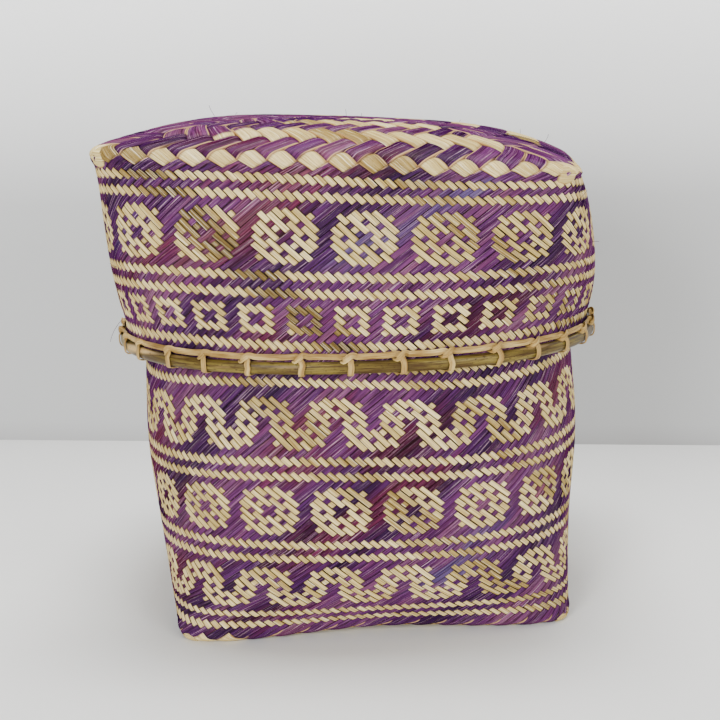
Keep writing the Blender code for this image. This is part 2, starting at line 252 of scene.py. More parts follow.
class Half:
    """One half of the box as a surface. Its profile runs in metres: below zero on the wall, zero
    at the edge where the wall meets the top or the floor, and above zero inwards from there."""

    def __init__(self, rings, upward):
        self.rings = rings
        self.upward = upward
        self.heights = np.linspace(rings[0][0], rings[-1][0], HEIGHT_STEPS)
        self.half_widths = np.array([smooth_value(rings, h, 1) for h in self.heights])
        self.corner_shares = np.array([smooth_value(rings, h, 2) for h in self.heights])
        self.edge_half = smooth_value(rings, rings[-1 if upward else 0][0], 1)

    def points(self, profile, place):
        """Points of the outer face."""
        wall = np.minimum(profile, 0.0)
        share = np.clip(1.0 - np.maximum(profile, 0.0) / self.edge_half, 0.0, 1.0)
        height = LID_EDGE_HEIGHT + wall if self.upward else -wall
        half = np.interp(height, self.heights, self.half_widths)
        corner = np.interp(height, self.heights, self.corner_shares)
        corner = MIDDLE_CORNER_SHARE + (corner - MIDDLE_CORNER_SHARE) * share ** ROUNDING
        angle = ARCS.angle(corner, place)
        radius = ring_shape(corner, angle) * half * share
        heading = angle + turn_at(height)
        x, y = radius * np.cos(heading), radius * np.sin(heading)
        arch = np.cos(2.0 * angle) ** 2
        if self.upward:
            fade = (height - LID_RIM_HEIGHT) / (LID_EDGE_HEIGHT - LID_RIM_HEIGHT)
            fade = np.clip(fade, 0.0, 1.0)
            rise = TOP_ARCH * fade ** ARCH_FADE * share ** 2 * arch
            z = height + rise + TOP_CROWN * (1.0 - share ** CROWN_POWER) + TOP_SLOPE * fade * x
        else:
            fade = 1.0 - height / BASE_HEIGHT
            climb = np.clip((share - FLAT_SHARE) / (1.0 - FLAT_SHARE), 0.0, 1.0) ** 2
            z = height + FLOOR_ARCH * fade ** ARCH_FADE * climb * arch
        return np.stack([x, y, z], axis=-1)

    def rounded_points(self, profile, place):
        """Points of the outer face with its edge rounded over."""
        near = np.exp(-((profile / (2.0 * EDGE_ROUNDING)) ** 2))
        weight = 1.0 / len(EDGE_SAMPLES)
        return sum(
            weight * self.points(profile + offset * EDGE_ROUNDING * near, place)
            for offset in EDGE_SAMPLES
        )


BASE = Half(BASE_RINGS, upward=False)
LID = Half(LID_RINGS, upward=True)


def smoothstep(low, high, value):
    t = np.clip((value - low) / (high - low), 0.0, 1.0)
    return t * t * (3.0 - 2.0 * t)


def blend(first, second, share):
    """The first value, giving way to the second as the share goes from zero to one."""
    return first * (1.0 - share) + second * share


def unit_vectors(vectors):
    """The vectors at length one, and those of no length as they are."""
    return vectors / np.maximum(np.linalg.norm(vectors, axis=-1, keepdims=True), NO_LENGTH)


def together(*parts):
    """Coordinates as the last axis of one array, each spread over the others' shape."""
    return np.stack(np.broadcast_arrays(*parts), axis=-1)


def row_value(table, row, column=1):
    """A row table's column at any rows, on straight lines between the table's own."""
    table = np.array(sorted(table))
    return np.interp(row, table[:, 0], table[:, column])


def motif(rows, across, row, flip):
    """Whether the undyed strip is on top in a motif, at a strip and a half row from its middle."""
    grid = np.array([[mark == "#" for mark in line] for line in rows])
    level = np.clip(np.abs(row), 0, len(rows) - 1)
    repeat = grid.shape[1]
    upper, lower = grid[level, np.mod(across, repeat)], grid[level, np.mod(flip - across, repeat)]
    return np.where(row >= 0, upper, lower) & (np.abs(row) < len(rows))


@dataclass
class Weave:
    """A half's strips. A strip of each family has a number, a row is the undyed one's less the
    dyed one's, and the tables give each row's height, its shift round the wall, its waves and the
    squeeze that the photo shows in its repeats."""

    half: Half
    count: int
    first: int
    edge_row: int
    open_row: float
    row_heights: tuple
    shears: tuple
    waves: tuple
    bands: tuple
    motifs: tuple
    wide_from: int
    wide_natural: object
    squeeze: tuple
    hues: tuple

    def __post_init__(self):
        self.direction = 1 if self.half.upward else -1
        self.units = self.count // (8 * STRIPS_PER_WIDE)

    def group_centre(self, strip, natural):
        """The middle one of the fine strips that share a wide one."""
        offset = self.first + 1.5 + (0.5 if natural else -0.5) * self.edge_row
        group = np.round((strip - offset) / STRIPS_PER_WIDE)
        return (STRIPS_PER_WIDE * group + offset).astype(int)

    def inward(self, row):
        """Wide half rows inwards from the edge."""
        return self.direction * (row - self.edge_row) / STRIPS_PER_WIDE

    def hue_at(self, dyed, natural):
        """Where the dye is plum, above zero, or lavender, below zero."""
        row = natural - dyed
        total = 0.0 * row
        for strip, centre_row, strip_reach, row_reach, strength in self.hues:
            off = np.mod(dyed - strip + self.count / 2.0, self.count) - self.count / 2.0
            near = (off / strip_reach) ** 2 + ((row - centre_row) / row_reach) ** 2
            total = total + strength * np.exp(-near)
        return total

    def natural_on_top(self, dyed, natural):
        """Whether the undyed strip is the upper one where the two cross."""
        row = natural - dyed
        found = np.isin(row, self.bands)
        for rows, centre_row, centre_strip, flip, reach in self.motifs:
            across = np.mod(natural - centre_strip + self.count // 2, self.count)
            across = across - self.count // 2
            inside = motif(rows, across, row - centre_row, flip)
            found = np.where(np.abs(row - centre_row) <= reach, inside, found)
        wide_row = self.group_centre(natural, True) - self.group_centre(dyed, False)
        wide = np.round(self.inward(wide_row)).astype(int)
        unit = (dyed + natural) / 2.0 / STRIPS_PER_WIDE - self.first / STRIPS_PER_WIDE
        unit = np.mod(unit + self.units, 2 * self.units) - self.units
        on_wide = self.direction * (row - self.wide_from) >= 0
        return np.where(on_wide, self.wide_natural(wide, unit), found)

    def round_place(self, row, unit):
        """Place round the wall, in half sides from mid front."""
        place = unit / self.units + row_value(self.shears, row)
        phase = math.pi / 4.0 * (place + self.half.upward * SQUEEZE_SHIFT)
        bend = np.sin(phase) * (np.abs(np.sin(phase)) if self.half.upward else 1.0)
        return place + row_value(self.squeeze, row) * bend

    def wall_profile(self, row, place):
        """Profile on the wall, where the rows rise and fall in waves."""
        swing, peak, mean, lean = (row_value(self.waves, row, column) for column in (1, 2, 3, 4))
        height = row_value(self.row_heights, row)
        height = height + swing * np.cos(math.pi * (place - peak)) + mean
        height = height + lean * np.sin(math.pi / 4.0 * place)
        if self.half.upward:
            return np.maximum(height, LID_RIM_HEIGHT + END_ROOM) - LID_EDGE_HEIGHT
        return -np.minimum(height, BASE_HEIGHT - END_ROOM)

    def sag(self, past_edge, along):
        """How far the lid's wide rows next to the edge sag."""
        into, full, out, gone = SAG_SPAN
        near = smoothstep(into, full, past_edge) * (1.0 - smoothstep(out, gone, past_edge))
        return SAG * near * (1.0 - np.minimum(along / self.units, 1.0) ** 4)

    def place(self, dyed, natural, side):
        """Profile and place round the ring for the weave's own coordinates."""
        row = natural - dyed
        inward = self.inward(row)
        unit = ((natural + dyed) / 2.0 - self.first) / STRIPS_PER_WIDE
        round_place = self.round_place(row, unit)
        x = unit - 2.0 * self.units * side
        depth = self.units - inward / 2.0
        reach = np.maximum(np.maximum(np.abs(x), np.abs(depth)), LEAST_REACH)
        on_cap = inward > 0.0
        cap = (1.0 - np.minimum(reach / self.units, 1.0)) * self.half.edge_half
        profile = np.where(on_cap, cap, self.wall_profile(row, round_place))
        if self.half.upward:
            past_edge = np.where(on_cap, self.units - reach, inward / 2.0)
            along = np.where(on_cap, np.minimum(np.abs(x), np.abs(depth)), np.abs(x))
            profile = profile - self.sag(past_edge, along)
        return profile, np.where(on_cap, cap_place(x, depth, reach, side), round_place)


def cap_place(x, depth, reach, side):
    """Place round the top or the floor, which a side's strips cross past its middle and beside
    its diagonals."""
    place = 2.0 * side + x / np.maximum(depth, LEAST_REACH)
    place = np.where(depth < 0.0, 2.0 * side + 4.0 + x / np.minimum(depth, -LEAST_REACH), place)
    place = np.where(x > np.abs(depth), 2.0 * side + 2.0 - depth / reach, place)
    return np.where(-x > np.abs(depth), 2.0 * side - 2.0 + depth / reach, place)


def lid_wide_natural(wide, unit):
    return (wide == 0) | ((wide >= 3) & (np.mod(wide - 3, 4) < 2))


def base_wide_natural(wide, unit):
    return ((wide >= 1) & (np.mod(wide - 1, 4) < 2)) | ((wide == 0) & (unit < -5.0))


# Shifts round the wall are given in units of which half a side has this many
HALF_SIDE = 675.0
MM = 0.001
PER_METRE = 1000.0

LID_WEAVE = Weave(
    half=LID, count=192, first=-4, edge_row=19, open_row=-32.6,
    row_heights=(
        (-32.5, 0.1050), (-26.5, 0.1142), (-20, 0.1233), (-13.5, 0.1325), (-9.5, 0.1386),
        (0, 0.1520), (9.5, 0.1647), (13.5, 0.1697), (19, 0.1783),
    ),
    shears=tuple(
        (row, shift / HALF_SIDE) for row, shift in
        ((-33, -130.0), (-20, -96.5), (0, -42.5), (10, -14.5), (14, -4.5), (19, 0.0))
    ),
    waves=tuple(
        (row, swing * MM, peak, mean * MM, lean * MM) for row, swing, peak, mean, lean in
        (
            (-32.5, 0.0, -0.785, 0.0, 0.0), (-27, 0.8, -0.785, 0.5, 0.2),
            (-20, 0.8, -0.785, 0.6, 0.4), (-10, 0.9, -0.785, 0.8, 0.7), (0, 0.23, -0.70, 0.1, 1.0),
            (10, 0.9, -0.69, 1.2, 1.3), (14, 0.96, -0.63, 1.5, 1.4), (19, 0.0, -0.63, 0.0, 0.0),
        )
    ),
    bands=(-27, -26, -14, -13, -10, -9, 9, 10, 13, 14),
    motifs=((ROUND_MOTIF, 0, 0, 0, 6), (SQUARE_MOTIF, -20, -11, 0, 3)),
    wide_from=16, wide_natural=lid_wide_natural,
    squeeze=((-33, 0.25), (-20, 0.21), (0, 0.037), (10, 0.0)),
    hues=(
        (-12, 1, 4, 8, 1.0), (-15, 14, 6, 4, 0.5), (-9, 20, 4, 5, 0.6), (-27, -18, 4, 9, 0.9),
        (-19, -6, 3, 7, 0.5), (4, 11, 2.0, 5, -1.0), (1, -2, 3, 7, -0.8), (-26, -2, 2, 7, -0.5),
        (3, -26, 5, 5, 0.5), (22, -20, 5, 7, 0.6), (-26, 24, 5, 6, 0.5), (13, 26, 4, 8, -0.2),
        (60, 0, 6, 14, 0.8), (95, -12, 9, 16, 0.7), (120, 8, 5, 12, -0.7), (150, -4, 7, 16, 0.7),
    ),
)

BASE_WEAVE = Weave(
    half=BASE, count=168, first=6, edge_row=-65, open_row=56.0,
    row_heights=(
        (-65, 0.0), (-59.5, 0.0060), (-55.5, 0.0098), (-46, 0.0200), (-36.5, 0.0324),
        (-32.5, 0.0379), (-23, 0.0514), (-13.5, 0.0649), (-9.5, 0.0706), (0, 0.0849),
        (10.5, 0.0995), (56, 0.1655),
    ),
    shears=tuple(
        (row, shift / HALF_SIDE) for row, shift in
        (
            (-65, 0.0), (-60, 5.0), (-52, 15.8), (-46, 26.8), (-40, 37.8), (-33, 44.8),
            (-23, 46.8), (-12, 45.8), (-6, 48.8), (0, 59.8), (6, 70.8), (15, 80.0),
        )
    ),
    waves=tuple(
        (row, swing * MM, peak / HALF_SIDE, mean * MM, 0.0) for row, swing, peak, mean in
        (
            (-65, 0.0, -675, 0.0), (-57, 1.5, -675, 0.8), (-34, 0.9, -575, 0.6),
            (-11, 1.1, -330, -0.2), (10, 1.5, -330, -0.5), (16, 1.5, -330, -0.5),
            (34, 0.0, -330, 0.0),
        )
    ),
    bands=(
        -60, -59, -56, -55, -37, -36, -33, -32, -14, -13, -10, -9, 10, 11, 14, 15,
        *(row for start in range(19, 56, 4) for row in (start, start + 1)),
    ),
    motifs=(
        (ROUND_MOTIF, 0, 0, 4, 6), (ROUND_MOTIF, -23, -11, 0, 6), (ROUND_MOTIF, -46, -23, 4, 6),
    ),
    wide_from=-62, wide_natural=base_wide_natural,
    squeeze=((-65, 0.0), (-50, -0.038), (15, -0.038)),
    hues=(
        (10, -4, 2.5, 7, 1.2), (17, -17, 3, 7, 1.0), (-3, -1, 2.5, 7, 0.9), (2, -12, 3, 5, 0.6),
        (34, -43, 3.0, 5, -1.0), (32, -31, 2.5, 6, -0.7), (14, -30, 4, 9, 0.7), (2, -48, 5, 9, 0.8),
        (-10, -24, 3, 8, 0.5), (26, 2, 4, 7, 0.6), (21, -56, 4, 5, 0.5), (37, -22, 3, 8, 0.5),
        (70, -10, 6, 20, 0.8), (96, -30, 8, 20, 0.7), (118, 0, 5, 14, -0.7), (145, -20, 7, 18, 0.8),
    ),
)


# Edges sharper than this aren't shaded smooth
SHARP_ANGLE = math.radians(28.0)


def grid_mesh(name, points, attributes, uvs, flip, keep):
    """A mesh of strips from an array of strip, step along and step across."""
    shape = points.shape[:3]
    index = np.arange(np.prod(shape)).reshape(shape)
    corners = (index[:, :-1, :-1], index[:, :-1, 1:], index[:, 1:, 1:], index[:, 1:, :-1])
    keep = np.broadcast_to(keep, shape[:2])
    quads = np.stack(corners, axis=-1)[keep[:, :-1] & keep[:, 1:]].reshape(-1, 4)
    if flip:
        quads = quads[:, ::-1]
    used, compact = np.unique(quads, return_inverse=True)
    compact = compact.reshape(-1)

    def spread(values, size):
        """One row of values for each vertex that is used."""
        values = np.broadcast_to(values, (*shape, size)).reshape(-1, size)
        return values[used].astype(np.float32)

    mesh = bpy.data.meshes.new(name)
    mesh.vertices.add(len(used))
    mesh.vertices.foreach_set("co", spread(points, 3).ravel())
    mesh.loops.add(len(compact))
    mesh.loops.foreach_set("vertex_index", compact.astype(np.int32))
    mesh.polygons.add(len(quads))
    mesh.polygons.foreach_set("loop_start", np.arange(0, len(compact), 4, dtype=np.int32))
    mesh.update(calc_edges=True)
    mesh.validate()
    mesh.uv_layers.new(name="OFBake").data.foreach_set("uv", spread(uvs, 2)[compact].ravel())
    for label, values in attributes.items():
        if label == "place":
            attribute = mesh.attributes.new(label, "FLOAT_VECTOR", "POINT")
            attribute.data.foreach_set("vector", spread(values, 3).ravel())
        else:
            attribute = mesh.attributes.new(label, "FLOAT", "POINT")
            attribute.data.foreach_set("value", spread(np.asarray(values)[..., None], 1).ravel())
    mesh.shade_smooth()
    mesh.set_sharp_from_angle(angle=SHARP_ANGLE)
    return mesh


def new_object(name, data):
    """An object of the scene that shows the data."""
    thing = bpy.data.objects.new(name, data)
    bpy.context.scene.collection.objects.link(thing)
    return thing


def add_piece(
    name, points, attributes, uvs, flip, material, body, node, keep=True,
):
    """A piece of the scene that rides on a body and takes a node's place."""
    mesh = grid_mesh(name, points, attributes, uvs, flip, keep)
    mesh.materials.append(material)
    piece = new_object(name, mesh)
    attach(piece, body)
    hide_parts(node)


@dataclass
class Layer:
    """How deep a weave lies, how far its strips rise and fall, and which way it faces."""

    depth: float
    lift: float
    facing: float
    dyed: bool


OUTER = Layer(WEAVE_DEPTH, WEAVE_LIFT, 1.0, True)
LINING = Layer(LINING_DEPTH, LINING_LIFT, -1.0, False)


# The least cosine between a sound normal and the plain one
SOUND_NORMAL = 0.5


def face_normals(points, profile, direction):
    """Outward normals of a grid of points, with plain ones where crowded points turn them: level
    on the wall, upright on the top or floor, between at the edge."""
    steps_along, steps_across = np.gradient(points, axis=(1, 2))
    normal = unit_vectors(direction * np.cross(steps_across, steps_along))
    level = unit_vectors(points * (1.0, 1.0, 0.0))
    over = smoothstep(-EDGE_ROUNDING, EDGE_ROUNDING, profile)[..., None]
    plain = unit_vectors(blend(level, np.array([0.0, 0.0, direction]), over))
    sound = np.sum(normal * plain, axis=-1, keepdims=True) > SOUND_NORMAL
    return np.where(sound, normal, plain)


class Family:
    """One side's strips of one family, from their open ends to where they end on the top or the
    floor. Arrays run over strip and step along, and then over step across."""

    def __init__(self, weave, natural, side, layer):
        self.weave = weave
        self.natural = natural
        self.side = side
        self.layer = layer
        units, direction = weave.units, weave.direction
        group = np.arange(-units + 0.5, units)
        middle = weave.first + STRIPS_PER_WIDE * (group + 2 * units * side)
        middle = np.round(middle + (0.5 if natural else -0.5) * weave.edge_row).astype(int)
        lanes = np.array([-1, 0, 1])
        self.strips = (middle[:, None] + lanes).reshape(-1, 1)
        self.lanes = np.tile(lanes, len(middle))[:, None]
        group = np.repeat(group, STRIPS_PER_WIDE)[:, None]
        self.lane_place = group + self.lanes / STRIPS_PER_WIDE
        lean = 1.0 if natural != weave.half.upward else -1.0
        half_rows = direction * STRIPS_PER_WIDE
        last_row = weave.edge_row + half_rows * (units - lean * self.lane_place + OVERRUN)
        self.group_last = weave.edge_row + half_rows * (units - lean * group)
        total = np.max(np.abs(last_row - weave.open_row))
        self.steps = int(math.ceil(total * STEPS_PER_CELL)) + 1
        row = weave.open_row + direction * np.arange(self.steps) / STEPS_PER_CELL
        self.row = np.broadcast_to(row, (len(self.strips), self.steps))
        self.keep = direction * (last_row - self.row) >= 0.0
        start = weave.wide_from - MERGE_START * direction
        self.merge = smoothstep(0.0, MERGE_ROWS, direction * (self.row - start))
        self.fine = self.rise(self.row)
        self.wide = sum(self.rise(self.row + shift) for shift in WIDE_SAMPLES) / len(WIDE_SAMPLES)
        self.spread = (self.lanes[..., None] + ACROSS / 2.0) / (STRIPS_PER_WIDE / 2.0)

    def crossings(self, at):
        """The dyed and the undyed strip's numbers where each strip crosses any rows."""
        if self.natural:
            return self.strips - at, self.strips
        return self.strips, self.strips + at

    def on_top(self, at):
        """One where the strip is the upper one at whole rows, minus one where it is under."""
        top = self.weave.natural_on_top(*self.crossings(at)) == self.natural
        drift = self.lanes if self.natural else -self.lanes
        past = self.weave.direction * (at - drift - self.group_last) > 0.0
        return np.where(top & ~past, 1.0, -1.0)

    def rise(self, at):
        """How high the strip lies at any rows, from minus one to one."""
        below = np.floor(at).astype(int)
        ease = smoothstep(*CROSSING_EASE, at - below)
        return blend(self.on_top(below), self.on_top(below + 1), ease)

    def outer_face(self, seed):
        """Points on the outer face that the strips follow, and their profile."""
        rng = np.random.default_rng(seed)
        each = self.strips.shape
        wander = WANDER * np.sin(WANDER_RATE * self.row + rng.uniform(0.0, WANDER_TURNS, each))
        wander = (wander + rng.normal(0.0, WANDER_SPREAD, each)) * (1.0 - self.merge)
        dyed = self.layer.dyed and not self.natural
        width = (DYED_HALF_WIDTH if dyed else NATURAL_HALF_WIDTH) + rng.normal(0.0, WIDTH_SPREAD, each)
        width = blend(width, WIDE_LANE, self.merge)
        sideways = self.strips[..., None] + wander[..., None] + width[..., None] * ACROSS
        along = self.strips[..., None] + (-self.row if self.natural else self.row)[..., None]
        dyed, undyed = (along, sideways) if self.natural else (sideways, along)
        profile, place = self.weave.place(dyed, undyed, self.side)
        return self.weave.half.rounded_points(profile, place), profile

    def points(self, seed):
        """The strips' own points, which rise and fall about their layer."""
        points, profile = self.outer_face(seed)
        mix = self.merge[..., None]
        fine_drop = np.where(np.abs(ACROSS) > FINE_EDGE, -STRIP_DROP, 0.0)
        wide_drop = np.where(np.abs(self.spread) > WIDE_EDGE, -STRIP_DROP, 0.0)
        fine_shape = STRIP_CROWN * (1.0 - ACROSS ** 2) + fine_drop
        wide_shape = WIDE_CROWN * (1.0 - self.spread ** 2) + wide_drop
        relief = TOP_RELIEF if self.weave.half.upward else 1.0
        wide_shape = relief * (WIDE_LIFT * self.wide[..., None] + wide_shape)
        fine_shape = self.layer.lift * self.fine[..., None] + fine_shape
        lift = blend(fine_shape, wide_shape, mix)
        normal = face_normals(points, profile, self.weave.direction)
        return points + normal * (self.layer.facing * lift - self.layer.depth)[..., None]

    def dye(self):
        """How far the strips are dyed, which undyed ones are at their ends on the top."""
        if not self.layer.dyed:
            return np.zeros(1)
        if not self.natural:
            return np.ones(1)
        left = self.group_last - self.row + self.lanes - STRIPS_PER_WIDE * DYED_END
        dye = 1.0 - smoothstep(0.0, 0.8, left)
        if SIDES[self.side] == "left":
            dye = np.maximum(dye, smoothstep(*LEFT_DYED_FROM, self.lane_place))
        dye = dye * self.merge * smoothstep(*TOP_DYED_FROM, self.row - self.weave.edge_row)
        return dye * float(self.weave.half.upward)

    def attributes(self, tones):
        """The guides that the material colours each strip by."""
        mix = self.merge[..., None]
        fine_tone, wide_tone = tones(self.strips, self.lanes)
        outwards, spread = np.abs(ACROSS), np.abs(self.spread)
        length = np.arange(self.steps) / STEPS_PER_CELL * STRIP_WIDTH_MM
        strips = self.strips[..., None]
        rise = blend(self.fine, self.wide, self.merge)
        return {
            "tone": blend(fine_tone, wide_tone, self.merge)[..., None],
            "dye": self.dye()[..., None],
            "hue": self.weave.hue_at(*self.crossings(self.row))[..., None],
            "edge": blend(FINE_RAW_EDGE * outwards, spread, mix),
            # Painted shade at each strip's rim, for the dark gaps between strips
            "rim": blend(outwards, WIDE_RIM_SHADE * spread, mix),
            # Painted shade where a strip dips under the strips it crosses
            "painted_dip_shade": smoothstep(*PAINTED_DIP_SHADE_RISE, rise)[..., None],
            "place": together(
                length[:, None], (strips + ACROSS * 0.45) * STRIP_WIDTH_MM, strips * STRIP_SHIFT,
            ),
        }

    def uvs(self):
        """Each strip as a row of its own in the texture."""
        count = len(self.strips)
        along = 0.004 + 0.992 * np.arange(self.steps) / (self.steps - 1)
        row = np.arange(count)[:, None, None] + 0.5 + ACROSS * 0.36
        return together(along[:, None], row / count)


def slow_noise(strips, seed, reach):
    """Smooth variation from strip to strip, 0 to 1."""
    rng = np.random.default_rng(seed)
    total = np.zeros(strips.shape)
    for wave in range(4):
        turns = rng.uniform(0.5, 1.6) * (wave + 1) / reach
        total += np.sin(2.0 * math.pi * turns * strips + rng.uniform(0.0, 6.3)) / (wave + 1)
    return 0.5 + 0.28 * total


def strip_tones(seed, count, dull_groups, undyed):
    """Tones by strip: its own when fine, and its wide strip's."""
    rng = np.random.default_rng(seed)
    spread = 0.14 if undyed else 0.10
    each, wide_each = rng.uniform(-spread, spread, (2, count))

    def value(strips, own):
        slow = slow_noise(strips, seed + 1, 19.0)
        tone = (0.62 + 0.25 * slow if undyed else slow) + own[np.mod(strips, count)]
        for centre, reach, strength in dull_groups:
            distance = np.abs(np.mod(strips - centre + count // 2, count) - count // 2)
            tone = tone - strength * (1.0 - smoothstep(0.8 * reach, 1.15 * reach, distance))
        return np.clip(tone, 0.0, 1.0)

    return lambda strips, lanes: (value(strips, each), value(strips - lanes, wide_each))


def srgb(red, green, blue):
    """A colour given as on screen, 0 to 255, in linear light."""
    values = []
    for level in (red, green, blue):
        share = level / 255.0
        values.append(share / 12.92 if share <= 0.04045 else ((share + 0.055) / 1.055) ** 2.4)
    return (*values, 1.0)


class Nodes:
    """Short ways to add shader nodes to a material."""

    def __init__(self, name):
        self.material = bpy.data.materials.new(name)
        self.material.use_nodes = True
        self.tree = self.material.node_tree
        self.shader = self.tree.nodes["Principled BSDF"]

    def add(self, kind, **settings):
        node = self.tree.nodes.new(kind)
        for key, value in settings.items():
            setattr(node, key, value)
        return node

    def feed(self, socket, value):
        """Gives a socket another node's output or a value of its own."""
        if isinstance(value, bpy.types.NodeSocket):
            self.tree.links.new(value, socket)
        else:
            socket.default_value = value

    def attribute(self, name, output="Fac"):
        return self.add("ShaderNodeAttribute", attribute_name=name).outputs[output]

    def ramp(self, source, *stops):
        node = self.add("ShaderNodeValToRGB")
        elements = node.color_ramp.elements
        while len(elements) < len(stops):
            elements.new(0.5)
        for element, (position, colour) in zip(elements, stops):
            element.position = position
            element.color = colour
        self.feed(node.inputs["Fac"], source)
        return node.outputs["Color"]

    def noise(self, stretch, detail=3.0, roughness=0.55):
        """Noise that follows the strips, in their millimetres times the stretch."""
        mapping = self.add("ShaderNodeMapping")
        self.feed(mapping.inputs["Vector"], self.attribute("place", "Vector"))
        self.feed(mapping.inputs["Scale"], stretch)
        node = self.add("ShaderNodeTexNoise")
        for name, value in (
            ("Vector", mapping.outputs["Vector"]), ("Scale", 1.0), ("Detail", detail),
            ("Roughness", roughness),
        ):
            self.feed(node.inputs[name], value)
        return node.outputs["Fac"]

    def mix(self, factor, first, second, blend="MIX"):
        node = self.add("ShaderNodeMix", data_type="RGBA", blend_type=blend)
        for socket, value in (("Factor", factor), (6, first), (7, second)):
            self.feed(node.inputs[socket], value)
        return node.outputs[2]

    def patches(self, colour, source, start, full, other):
        """The colour, giving way to another as the source goes from start to full."""
        return self.mix(self.ramp(source, (start, BLACK), (full, WHITE)), colour, other)

    def shade(self, colour, source, *stops):
        """The colour times a ramp of the source."""
        return self.mix(1.0, colour, self.ramp(source, *stops), "MULTIPLY")

    def math(self, operation, *values):
        node = self.add("ShaderNodeMath", operation=operation)
        for socket, value in zip(node.inputs, values):
            self.feed(socket, value)
        return node.outputs[0]

    def finish(self, colour, roughness, specular, relief, strength, distance):
        """Gives the shader its colour, gloss and relief."""
        bump = self.add("ShaderNodeBump")
        for socket, value in (
            (bump.inputs["Strength"], strength), (bump.inputs["Distance"], distance),
            (bump.inputs["Height"], relief), (self.shader.inputs["Normal"], bump.outputs["Normal"]),
            (self.shader.inputs["Base Color"], colour), (self.shader.inputs["Roughness"], roughness),
            (self.shader.inputs["Specular IOR Level"], specular),
        ):
            self.feed(socket, value)
        return self.material


BLACK = (0.0, 0.0, 0.0, 1.0)
WHITE = (1.0, 1.0, 1.0, 1.0)

# The dyed strips' tones from dark to pale, on screen: violet, plum and lavender
DYES = (
    ((50, 17, 60), (76, 31, 84), (98, 46, 95), (126, 76, 106)),
    ((56, 15, 37), (78, 21, 51), (97, 34, 63), (115, 62, 77)),
    ((54, 38, 82), (74, 54, 102), (92, 74, 116), (112, 96, 130)),
)


def bamboo_look(nodes, tones, pale_fibres_and_highlights, dark_lines, raw_edge):
    """Split bamboo's colour: tones by strip, fine fibres along it, pale fibre lines that on undyed
    strips are partly painted highlight, and its raw edges.
    """
    along = nodes.noise((0.045, 0.5, 1.0), 2.0)
    tone = nodes.math("MULTIPLY_ADD", along, 0.55, nodes.attribute("tone"))
    colour = nodes.ramp(nodes.math("ADD", tone, -0.275), *tones)
    fibres = nodes.noise((0.030, 2.9, 1.0), 4.0, 0.78)
    # Pale fibre lines along the strip: its own fibres, and on undyed strips partly a painted highlight
    colour = nodes.patches(colour, fibres, *pale_fibres_and_highlights)
    colour = nodes.shade(colour, nodes.noise((0.04, 2.3, 2.0), 4.0, 0.78), *dark_lines)
    rim = nodes.ramp(nodes.attribute("edge"), (0.84, BLACK), (0.88, WHITE))
    rim = nodes.shade(rim, nodes.noise((0.06, 0.2, 1.0), 1.0), (0.40, BLACK), (0.50, WHITE))
    return nodes.mix(rim, colour, raw_edge), fibres


def dyed_look(nodes):
    """Violet bamboo that goes plum or lavender in patches."""
    looks = []
    for tones in DYES:
        stops = [(stop, srgb(*tone)) for stop, tone in zip((0.0, 0.35, 0.65, 1.0), tones)]
        looks.append(
            bamboo_look(
                nodes, stops, (0.57, 0.69, srgb(222, 188, 198)),
                ((0.38, (0.16, 0.12, 0.16, 1.0)), (0.60, WHITE)), srgb(186, 150, 104),
            )[0]
        )
    violet, plum, lavender = looks
    uneven = nodes.noise((0.05, 0.3, 1.0))
    warm = nodes.math("MULTIPLY_ADD", uneven, 1.6, nodes.attribute("hue"))
    colour = nodes.patches(violet, nodes.math("ADD", warm, -0.8), 0.02, 0.55, plum)
    cold = nodes.math("MULTIPLY_ADD", uneven, -1.6, nodes.attribute("hue"))
    cold = nodes.math("MULTIPLY", nodes.math("ADD", cold, 0.8), -1.0)
    return nodes.patches(colour, cold, 0.20, 0.80, lavender)


def natural_look(nodes):
    """Undyed straw bamboo."""
    tones = (
        (0.00, srgb(106, 86, 42)), (0.25, srgb(146, 122, 68)), (0.50, srgb(184, 161, 97)),
        (0.75, srgb(211, 188, 126)), (1.00, srgb(230, 209, 152)),
    )
    # The pale fibre lines here are partly painted highlight, the strips' satin sheen
    return bamboo_look(
        nodes, tones, (0.54, 0.68, srgb(250, 243, 216)),
        ((0.38, (0.50, 0.42, 0.30, 1.0)), (0.56, WHITE)), srgb(166, 128, 76),
    )


def bamboo_material():
    """Split bamboo, undyed or dyed as the strip's dye attribute says, with painted shade at the
    strips' rims and where they dip under others.
    """
    nodes = Nodes("split_bamboo")
    dyed = dyed_look(nodes)
    natural, fibres = natural_look(nodes)
    dye, rim = nodes.attribute("dye"), nodes.attribute("rim")
    # Painted shade at the strips' rims, for the dark gaps between them: strong on undyed strips,
    # weaker on dyed ones
    shade = nodes.mix(
        dye, nodes.ramp(rim, (0.86, WHITE), (0.98, (0.22, 0.16, 0.15, 1.0))),
        nodes.ramp(rim, (0.84, WHITE), (0.98, (0.50, 0.44, 0.48, 1.0))),
    )
    colour = nodes.mix(1.0, nodes.mix(dye, natural, dyed), shade, "MULTIPLY")
    # Painted shade where strips dip under the strips they cross, and where the knuckles' ends tuck in
    colour = nodes.shade(
        colour, nodes.attribute("painted_dip_shade"), (0.0, (0.10, 0.07, 0.08, 1.0)),
        (0.50, (0.50, 0.45, 0.46, 1.0)), (0.9, WHITE),
    )
    facing = nodes.add("ShaderNodeLayerWeight").outputs["Facing"]
    gloss = nodes.ramp(facing, (0.30, (0.08, 0.08, 0.08, 1.0)), (0.65, BLACK))
    return nodes.finish(colour, 0.46, gloss, fibres, 0.35, 0.0003)


BAMBOO = bamboo_material()


